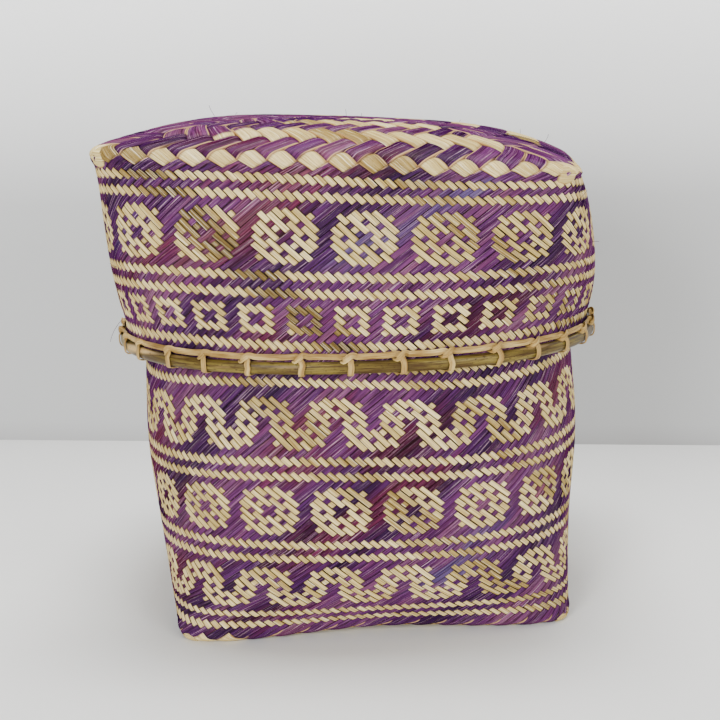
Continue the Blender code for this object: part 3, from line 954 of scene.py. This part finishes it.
def weave_half(weave, body, layer, node, dull_groups, seed):
    """All strips of one woven layer, one piece for each family and side."""
    for natural in (False, True):
        undyed = natural or not layer.dyed
        tones = strip_tones(seed + natural, weave.count, dull_groups if undyed else (), undyed)
        for side, label in enumerate(SIDES):
            family = Family(weave, natural, side, layer)
            add_piece(
                f"{node}_{'falling' if natural else 'rising'}_strips_{label}",
                family.points(seed + 10 * side + natural), family.attributes(tones), family.uvs(),
                weave.direction * layer.facing < 0.0, BAMBOO, body,
                node, family.keep,
            )


# Groups of dull strips: the middle one's number, how many to either side, and how dull
LID_DULL = (
    (-15.5, 3.2, 0.50), (-15.5, 1.6, 0.15), (9, 4.5, 0.28), (17, 4.5, 0.25),
    (50, 5, 0.5), (88, 6, 0.4), (132, 4, 0.5),
)
BASE_DULL = ((-5.5, 4.0, 0.30), (-27, 3.0, 0.22), (16, 3.0, 0.32), (52, 5, 0.4), (90, 4, 0.5))
LID_LINING_DULL = ((20, 5, 0.3), (60, 4, 0.3))
BASE_LINING_DULL = ((10, 4, 0.3), (50, 5, 0.3))

# A plain twill's rows, and a row beyond all others
TWILL_ROWS = tuple(row for row in range(-60, 60) if row % 4 < 2)
NO_ROW = 1000


def lining_weave(half, count, edge_row, open_row, low, high):
    """A plain twill of undyed strips twice as wide as the outer weave's."""
    still = ((edge_row, 0.0), (open_row, 0.0))
    return Weave(
        half=half, count=count, first=0, edge_row=edge_row, open_row=open_row,
        row_heights=((open_row, low), (edge_row, high)), shears=still,
        waves=((min(edge_row, open_row), 0.0, 0.0, 0.0, 0.0), (60, 0.0, 0.0, 0.0, 0.0)),
        bands=TWILL_ROWS, motifs=(), wide_from=NO_ROW if half.upward else -NO_ROW,
        wide_natural=lambda wide, unit: wide > 0, squeeze=still, hues=(),
    )


LID_TWILL = lining_weave(LID, 96, 9, -16.6, LID_RIM_HEIGHT, LID_EDGE_HEIGHT)
BASE_TWILL = lining_weave(BASE, 84, -31, 29.0, BASE_HEIGHT, 0.0)

weave_half(LID_WEAVE, "lid", OUTER, "lid_outer_weave", LID_DULL, 11)
weave_half(BASE_WEAVE, "base", OUTER, "base_outer_weave", BASE_DULL, 57)
weave_half(LID_TWILL, "lid", LINING, "lid_lining", LID_LINING_DULL, 91)
weave_half(BASE_TWILL, "base", LINING, "base_lining", BASE_LINING_DULL, 133)


# Knuckles: one wide strip folded over each corner. Its reach is a share of a half side, it
# narrows and slants by shares, its span is in metres of profile, and it lifts off and tucks in.
KNUCKLE_REACH = 0.052
KNUCKLE_STEPS = (17, 9)
KNUCKLE_TAPER = 0.35
KNUCKLE_SLANT = 0.25
LID_KNUCKLE = (-0.0062, 0.0020)
BASE_KNUCKLE = (-0.0036, 0.0060)
KNUCKLE_LIFT = 0.0002
KNUCKLE_TUCK = 0.0007


def corner_knuckles(weave, body, node, span):
    """A folded strip over each of the four corners, where the two families' ends tuck in."""
    along, across = KNUCKLE_STEPS
    corner = np.arange(4)[:, None, None]
    t = np.linspace(-1.0, 1.0, along)[None, :, None]
    w = np.linspace(-1.0, 1.0, across)[None, None, :]
    half = (span[1] - span[0]) / 2.0 * (1.0 - KNUCKLE_TAPER * t ** 2)
    place = 2.0 * corner + 1.0 + KNUCKLE_REACH * (t + KNUCKLE_SLANT * w)
    points = weave.half.rounded_points((span[0] + span[1]) / 2.0 + half * w, place)
    normal = unit_vectors(np.cross(np.gradient(points, axis=2), np.gradient(points, axis=1)))
    outwards = np.sign(np.mean(normal[..., :2] * points[..., :2]))
    tuck = smoothstep(0.72, 1.0, np.abs(t)) + smoothstep(0.86, 1.0, np.abs(w))
    lift = KNUCKLE_LIFT + WIDE_CROWN * (1.0 - w ** 2) - KNUCKLE_TUCK * tuck
    points = points + outwards * normal * lift[..., None]
    points[..., 2] = np.maximum(points[..., 2], 0.0)
    attributes = {
        "tone": 0.66 + 0.1 * np.sin(5.0 * corner), "dye": 0.0, "hue": 0.0,
        # The rim value is painted shade at the folded strip's edges
        "edge": np.abs(w), "rim": WIDE_RIM_SHADE * np.abs(w),
        # Painted shade where the folded strip's ends tuck in
        "painted_dip_shade": 1.0 - smoothstep(0.75, 1.05, np.abs(t)),
        "place": together(
            PER_METRE * weave.half.edge_half * KNUCKLE_REACH * t, PER_METRE * half * w, 9.7 * corner,
        ),
    }
    uvs = together(0.5 + 0.49 * t, (corner + 0.5 + 0.45 * w) / 4.0)
    add_piece(
        body + "_corner_knuckles", points, attributes, uvs, outwards < 0.0, BAMBOO, body,
        node,
    )


corner_knuckles(LID_WEAVE, "lid", "lid_outer_weave", LID_KNUCKLE)
corner_knuckles(BASE_WEAVE, "base", "base_outer_weave", BASE_KNUCKLE)


# Loose fibres on the lid: place round it, metres inwards from the top's edge (below zero down the
# wall), length, then heading, rise and bend in degrees
LOOSE_FIBRES = (
    (-2.25, 0.030, 0.0070, 165.0, 50.0, 25.0), (-2.55, 0.034, 0.0055, 95.0, 40.0, -30.0),
    (4.20, 0.060, 0.0040, 120.0, 75.0, 15.0), (3.90, 0.064, 0.0026, 40.0, 60.0, 30.0),
    (3.20, 0.026, 0.0048, 60.0, 65.0, -25.0), (2.85, 0.014, 0.0045, 80.0, 70.0, 20.0),
    (2.10, 0.010, 0.0050, 10.0, 40.0, 30.0), (1.10, -0.012, 0.0050, -30.0, 35.0, 25.0),
    (1.25, -0.030, 0.0042, -10.0, 20.0, -30.0), (-1.60, -0.062, 0.0120, 205.0, -40.0, -35.0),
    (-1.20, -0.040, 0.0040, 215.0, 15.0, 30.0), (4.90, 0.004, 0.0060, 100.0, 30.0, 35.0),
)
FIBRE_RADIUS = 0.00008
FIBRE_STEPS = 9
FIBRE_SIDES = 5
FIBRE_ACROSS = (0.36, 0.48, 0.80)


def loose_fibres():
    """Fine dyed fibres that have come loose and stand off the lid."""
    place, inwards, length, heading, rise, bend = np.array(LOOSE_FIBRES).T[:, :, None]
    share = np.linspace(0.0, 1.0, FIBRE_STEPS)
    heading = np.radians(heading + bend * share)
    rise = np.radians(rise + bend * share)
    step = together(np.cos(rise) * np.cos(heading), np.cos(rise) * np.sin(heading), np.sin(rise))
    path = np.cumsum(step, axis=1) * (length / FIBRE_STEPS)[..., None]
    path = path + LID.rounded_points(inwards, place) - step * WEAVE_DEPTH
    beside = unit_vectors(np.cross(step, FIBRE_ACROSS))
    turns = np.linspace(0.0, 2.0 * math.pi, FIBRE_SIDES + 1)[:, None]
    around = np.cos(turns) * beside[:, :, None] + np.sin(turns) * np.cross(step, beside)[:, :, None]
    points = path[:, :, None] + FIBRE_RADIUS * around
    attributes = {
        "tone": 0.3, "dye": 1.0, "hue": 0.0, "edge": 0.0, "rim": 0.0, "painted_dip_shade": 1.0,
        "place": points / MM,
    }
    rows = np.arange(len(points))[:, None, None] + 0.1 + 0.8 * turns[:, 0] / turns[-1, 0]
    uvs = together(share[:, None], rows / len(points))
    add_piece(
        "lid_loose_fibres", points, attributes, uvs, False, BAMBOO, "lid",
        "lid_outer_weave",
    )


loose_fibres()


class Rim:
    """Points round one rim. Levels run from its edge towards the wall."""

    def __init__(self, half, edge_level, upward, hoops):
        self.edge_level = edge_level
        self.upward = upward
        self.hoops = hoops
        height = edge_level + upward * HOOP_HEIGHT / 2.0
        self.half_width = smooth_value(half.rings, height, 1)
        self.corner = smooth_value(half.rings, height, 2)
        self.turn = turn_at(height)
        self.reach = float(np.sum(side_steps(self.corner, self.half_width)))

    def points(self, length, outward, level):
        """Points at a length round the rim from mid front."""
        angle = ARCS.angle(np.full(length.shape, self.corner), length / self.reach)
        radius = ring_shape(self.corner, angle) * (self.half_width + outward)
        heading = angle + self.turn
        z = self.edge_level + self.upward * level
        return together(radius * np.cos(heading), radius * np.sin(heading), z)


def rim_piece(name, grid, rows, length, around, flip, material, body, node):
    """A piece from a section that runs round a rim, cut into rows so that no row is too long."""
    steps = (len(grid) - 1) // rows
    parts = [slice(steps * row, steps * (row + 1) + 1) for row in range(rows)]
    grid, length = (np.array([values[part] for part in parts]) for values in (grid, length))
    along, sections = grid.shape[1:3]
    across = np.arange(rows)[:, None, None] + 0.05 + 0.9 * np.arange(sections) / (sections - 1)
    uvs = together((np.arange(along) / (along - 1))[:, None], across / rows)
    attributes = {"place": together(length * PER_METRE, around * PER_METRE, 0.0)}
    add_piece(name, grid, attributes, uvs, flip, material, body, node)


# The hoop's skin side: shares of its height where it is divided, and how round it is
HOOP_SECTION = np.array([0.0, 0.02, 0.07, 0.17, 0.32, 0.5, 0.68, 0.83, 0.93, 0.98, 1.0])
HOOP_ROUNDNESS = 3.2
HOOP_ROWS = 8
HOOP_ROW_STEPS = 46


def hoop_piece(name, rim, inner, thickness, bulge, body, node):
    """A strip of bamboo round the rim with a bulging skin side and slanting ends that meet."""
    skin = 1.0 - bulge + bulge * np.sqrt(1.0 - np.abs(2.0 * HOOP_SECTION - 1.0) ** HOOP_ROUNDNESS)
    outs = inner + thickness * np.concatenate([[0.0, 0.0], skin, [0.0, 0.0]])
    levels = HOOP_HEIGHT * np.concatenate([[0.5, 0.0], HOOP_SECTION, [1.0, 0.5]])
    start = (HOOP_CUT_PLACE + math.pi / 2.0) / (math.pi / 4.0) * rim.reach + HOOP_CUT_GAP / 2.0
    run = np.linspace(0.0, 8.0 * rim.reach - HOOP_CUT_GAP, HOOP_ROWS * HOOP_ROW_STEPS - 1)
    length = start + run[:, None] + HOOP_CUT_SLANT * (levels - HOOP_HEIGHT / 2.0)
    grid = rim.points(length, outs, levels)
    ends = grid.mean(axis=1, keepdims=True) + 0.0 * grid
    grid = np.concatenate([ends[:1], grid, ends[-1:]])
    length = np.concatenate([length[:1], length, length[-1:]])
    around = np.concatenate([[0.0], np.cumsum(np.hypot(np.diff(outs), np.diff(levels)))])
    rim_piece(
        name, grid, HOOP_ROWS, length, around, rim.upward > 0.0, SKIN, body, node,
    )


# One stitch in millimetres: along the rim, outwards, up from the rim's edge, and the degrees
# that the flat side faces, from outwards through downwards
STITCH = (
    (-3.2, 0.70, 6.15, 0), (-1.7, 1.00, 6.40, 0), (-0.6, 1.60, 6.25, 0), (0.35, 2.20, 5.10, -15),
    (0.75, 2.75, 3.70, 0), (0.75, 2.80, 2.20, 0), (0.65, 2.65, 0.80, 5), (0.5, 2.10, -0.20, 50),
    (0.3, 0.60, -0.55, 90), (0.0, -2.60, -0.55, 90), (-0.4, -3.90, -0.10, 140),
    (-0.8, -4.15, 1.20, 180), (-1.2, -4.15, 3.20, 180), (-1.6, -3.70, 4.40, 200),
    (-1.9, -2.40, 4.60, 260), (-2.0, 0.10, 4.60, 270), (-1.85, 1.40, 4.75, 320),
    (-1.1, 2.35, 5.30, 350), (-0.1, 2.75, 6.20, 360), (0.9, 2.35, 6.85, 360),
    (1.9, 1.45, 6.65, 360), (3.1, 0.75, 6.15, 360),
)
BETWEEN = 4
FINER = 3

# Beyond these the stitch is outside the hoop or above it, in metres, and how stitches vary
OUTSIDE_HOOP = 0.0019
ABOVE_HOOP = 0.0045
START_SPREAD = 0.0007
LEVEL_SPREAD = 0.00012
LENGTH_SPREAD = 0.00015

# The strand's section: the directions of its corners in degrees, and how flat it is
STRAND_TURNS = (0, 25, 60, 90, 120, 155, 180, 205, 270, 335, 360)
STRAND_FLATNESS = 0.6


def smooth_path(points):
    """A Catmull-Rom curve through points, FINER steps to a span."""
    ends = 2.0 * points[[0, -1]] - points[[1, -2]]
    padded = np.concatenate([ends[:1], points, ends[1:]])
    a, b, c, d = padded[:-3], padded[1:-2], padded[2:-1], padded[3:]
    found = []
    for step in range(FINER):
        t = step / FINER
        found.append(
            0.5 * (2.0 * b + (c - a) * t + (2.0 * a - 5.0 * b + 4.0 * c - d) * t * t
                   + (3.0 * b - a - 3.0 * c + d) * t ** 3)
        )
    curve = np.stack(found, axis=1).reshape(-1, points.shape[1])
    return np.concatenate([curve, points[-1:]])


def lashing_path(rim, stitches, seed):
    """The strand's way round a rim: length, outwards, level and the way its flat side faces."""
    rng = np.random.default_rng(seed)
    around = 8.0 * rim.reach
    stitch = np.array(STITCH) * (MM, MM, MM, 1.0)
    room = rim.hoops[0] - LID_HOOPS[0]
    starts = FIRST_STITCH * around + around / stitches * np.arange(stitches)
    starts = starts + rng.normal(0.0, START_SPREAD, stitches)
    starts = np.append(starts, starts[0] + around)
    shares = (np.arange(1, BETWEEN) / BETWEEN)[:, None]
    path = []
    for index in range(stitches):
        here = stitch.copy()
        here[:, 1] += np.where(here[:, 1] > OUTSIDE_HOOP, room, 0.0)
        here[:, 2] += rng.normal(0.0, LEVEL_SPREAD) * (here[:, 2] > ABOVE_HOOP)
        here[:, 0] += starts[index] + rng.normal(0.0, LENGTH_SPREAD, len(here))
        here[:, 3] += 360.0 * index
        end = stitch[0] + (starts[index + 1], 0.0, 0.0, 360.0 * (index + 1))
        path += [here, blend(here[-1], end, shares)]
    return smooth_path(np.concatenate([*path, end[None, :]])).T


def lashing_piece(name, rim, stitches, seed, body, node):
    """One flat strand of rattan, a row of the mesh to each stitch and the run after it."""
    length, outward, level, facing = lashing_path(rim, stitches, seed)
    middle = rim.points(length, outward, level)
    beside = unit_vectors(rim.points(length, outward + MM, level) - middle)
    up = np.array([0.0, 0.0, rim.upward])
    turn = np.radians(facing)[:, None]
    normal = np.cos(turn) * beside - np.sin(turn) * up
    tangent = unit_vectors(np.gradient(middle, axis=0))
    normal = unit_vectors(normal - np.sum(normal * tangent, axis=-1, keepdims=True) * tangent)
    across = np.cross(tangent, normal)
    turns = np.radians(STRAND_TURNS)
    wide = np.sign(np.cos(turns)) * np.abs(np.cos(turns)) ** STRAND_FLATNESS * RATTAN[0]
    thick = np.sin(turns) * RATTAN[1]
    grid = middle[:, None] + across[:, None] * wide[:, None] + normal[:, None] * thick[:, None]
    steps = np.linalg.norm(np.diff(middle, axis=0), axis=-1)
    along = np.concatenate([[0.0], np.cumsum(steps)])[:, None]
    rim_piece(
        name, grid, stitches, along, wide, True, RATTAN_STRAND, body, node,
    )


def skin_material():
    """Bamboo skin: olive, streaked and specked with brown, with pale patches painted as its gloss."""
    nodes = Nodes("bamboo_skin_detail")
    colour = nodes.ramp(
        nodes.noise((0.03, 0.35, 1.0)), (0.30, srgb(62, 46, 18)), (0.45, srgb(86, 71, 29)),
        (0.58, srgb(112, 97, 42)), (0.76, srgb(152, 132, 74)),
    )
    streaks = nodes.noise((0.07, 1.3, 1.0), 4.0, 0.75)
    pale = nodes.noise((0.025, 0.2, 3.0), 1.0)
    specks = nodes.noise((0.6, 1.5, 1.0), 2.0)
    colour = nodes.patches(colour, streaks, 0.46, 0.60, srgb(60, 40, 18))
    # Pale patches: painted highlight for the skin's gloss
    colour = nodes.patches(colour, pale, 0.60, 0.74, srgb(188, 156, 100))
    colour = nodes.patches(colour, specks, 0.61, 0.68, srgb(60, 42, 20))
    return nodes.finish(colour, 0.36, 0.16, streaks, 0.2, 0.0002)


def rattan_material():
    """Split rattan: pale tan with lengthwise fibres."""
    nodes = Nodes("split_rattan_detail")
    colour = nodes.ramp(
        nodes.noise((0.05, 0.3, 1.0)), (0.32, srgb(132, 103, 52)), (0.50, srgb(172, 143, 84)),
        (0.70, srgb(210, 185, 126)),
    )
    fibres = nodes.noise((0.10, 4.5, 1.0), 4.0, 0.65)
    colour = nodes.shade(colour, fibres, (0.38, (0.48, 0.38, 0.27, 1.0)), (0.56, WHITE))
    return nodes.finish(colour, 0.42, 0.12, fibres, 0.25, 0.0002)


SKIN = skin_material()
RATTAN_STRAND = rattan_material()


def dress_rim(body, rim, stitches, seed):
    """Both hoops and the lashing of one rim."""
    outer, inner = rim.hoops
    hoop_piece(body + "_skin_hoop", rim, SEAT, outer, HOOP_BULGE, body, body + "_outer_hoop")
    hoop_piece(
        body + "_split_hoop", rim, -LAYERS - SEAT - inner, inner, 0.0, body, body + "_inner_hoop",
    )
    lashing_piece(body + "_flat_lashing", rim, stitches, seed, body, body + "_rim_lashing")


dress_rim("lid", Rim(LID, LID_RIM_HEIGHT, 1.0, LID_HOOPS), LID_STITCHES, 301)
dress_rim("base", Rim(BASE, BASE_HEIGHT, -1.0, BASE_HOOPS), BASE_STITCHES, 302)


# The photo's camera, in metres and angles, on a frame 36 mm wide
CAMERA_PLACE = Vector((-0.0401, -0.5739, 0.2042))
CAMERA_HEADING = math.radians(4.1)
CAMERA_PITCH = math.radians(11.11)
CAMERA_ROLL = math.radians(-1.58)
LENS = 70.0


def add_camera():
    """The camera of the photo, fitted to it."""
    heading = Vector((math.sin(CAMERA_HEADING), math.cos(CAMERA_HEADING), 0.0))
    forward = heading * math.cos(CAMERA_PITCH) - Vector((0.0, 0.0, math.sin(CAMERA_PITCH)))
    level = Vector((math.cos(CAMERA_HEADING), -math.sin(CAMERA_HEADING), 0.0))
    above = level.cross(forward)
    right = level * math.cos(CAMERA_ROLL) + above * math.sin(CAMERA_ROLL)
    up = above * math.cos(CAMERA_ROLL) - level * math.sin(CAMERA_ROLL)
    data = bpy.data.cameras.new("photo_camera")
    data.lens = LENS
    data.sensor_width = 36.0
    camera = new_object("photo_camera", data)
    turned = Matrix((right, up, -forward)).transposed()
    camera.matrix_world = Matrix.Translation(CAMERA_PLACE) @ turned.to_4x4()
    bpy.context.scene.camera = camera


def plane(name, corners, material):
    """A flat piece of the stage."""
    mesh = bpy.data.meshes.new(name)
    mesh.from_pydata(corners, [], [(0, 1, 2, 3)])
    mesh.materials.append(material)
    new_object(name, mesh)


def table_paint():
    nodes = Nodes("table_paint")
    nodes.feed(nodes.shader.inputs["Base Color"], TABLE_COLOUR)
    nodes.feed(nodes.shader.inputs["Roughness"], 0.6)
    return nodes.material


# The wall's distance from the camera, how far it is swung from square to it, and how far the wall
# and the table reach
WALL_DISTANCE = 0.7826
WALL_SWING = math.radians(8.0)
STAGE_REACH = 4.0
TABLE_COLOUR = srgb(227, 227, 225)
# The wall's colour by height: painted light that brightens towards the top, and painted shade at its
# foot
WALL_PAINTED_LIGHT = (
    (0.0, srgb(180, 180, 180)), (0.012, srgb(192, 193, 193)), (0.14, srgb(192, 193, 193)),
    (0.25, srgb(254, 255, 255)),
)

# Each lamp's name, place, size and power, where they all point, and the light from all round
LAMPS = (
    ("window_light", (-0.9, -1.4, 0.55), 0.8, 31.0),
    ("second_light", (1.0, -1.4, 0.50), 0.8, 20.0),
    ("ceiling_light", (0.02, 0.08, 1.30), 0.5, 18.5),
)
LAMP_AIM = (0.0, 0.0, 0.1)
ROOM_LIGHT = 0.31


def wall_paint():
    """Pale paint with painted light, lighter towards the top, and painted shade at its foot; clear
    from behind, where the wall would hide the box."""
    nodes = Nodes("wall_paint")
    split = nodes.add("ShaderNodeSeparateXYZ")
    nodes.feed(split.inputs["Vector"], nodes.add("ShaderNodeTexCoord").outputs["Object"])
    either = nodes.add("ShaderNodeMixShader")
    surface = nodes.tree.nodes["Material Output"].inputs["Surface"]
    for socket, value in (
        (nodes.shader.inputs["Base Color"], nodes.ramp(split.outputs["Z"], *WALL_PAINTED_LIGHT)),
        (nodes.shader.inputs["Roughness"], 0.8),
        (either.inputs["Fac"], nodes.add("ShaderNodeNewGeometry").outputs["Backfacing"]),
        (either.inputs[1], nodes.shader.outputs["BSDF"]),
        (either.inputs[2], nodes.add("ShaderNodeBsdfTransparent").outputs["BSDF"]),
        (surface, either.outputs["Shader"]),
    ):
        nodes.feed(socket, value)
    return nodes.material


def add_stage():
    """A table and the wall behind it."""
    heading = CAMERA_HEADING + WALL_SWING
    forward = Vector((math.sin(heading), math.cos(heading), 0.0))
    right = Vector((forward.y, -forward.x, 0.0))
    foot = Vector((CAMERA_PLACE.x, CAMERA_PLACE.y, 0.0)) + forward * WALL_DISTANCE
    left_end, right_end = foot - right * STAGE_REACH, foot + right * STAGE_REACH
    near = -forward * STAGE_REACH
    top = Vector((0.0, 0.0, STAGE_REACH))
    plane("table_top", (left_end + near, right_end + near, right_end, left_end), table_paint())
    plane("wall_face", (left_end, right_end, right_end + top, left_end + top), wall_paint())


def add_lamps():
    """Soft round lamps that face the box."""
    for name, place, size, power in LAMPS:
        data = bpy.data.lights.new(name, "AREA")
        data.shape = "DISK"
        data.size = size
        data.energy = power
        lamp = new_object(name, data)
        lamp.location = place
        towards = Vector(LAMP_AIM) - Vector(place)
        lamp.rotation_euler = towards.to_track_quat("-Z", "Y").to_euler()


def add_room_light():
    """Even light from all sides."""
    world = bpy.data.worlds.new("soft_room")
    bpy.context.scene.world = world
    world.use_nodes = True
    background = world.node_tree.nodes["Background"]
    background.inputs["Color"].default_value = WHITE
    background.inputs["Strength"].default_value = ROOM_LIGHT


add_camera()
add_stage()
add_room_light()
add_lamps()
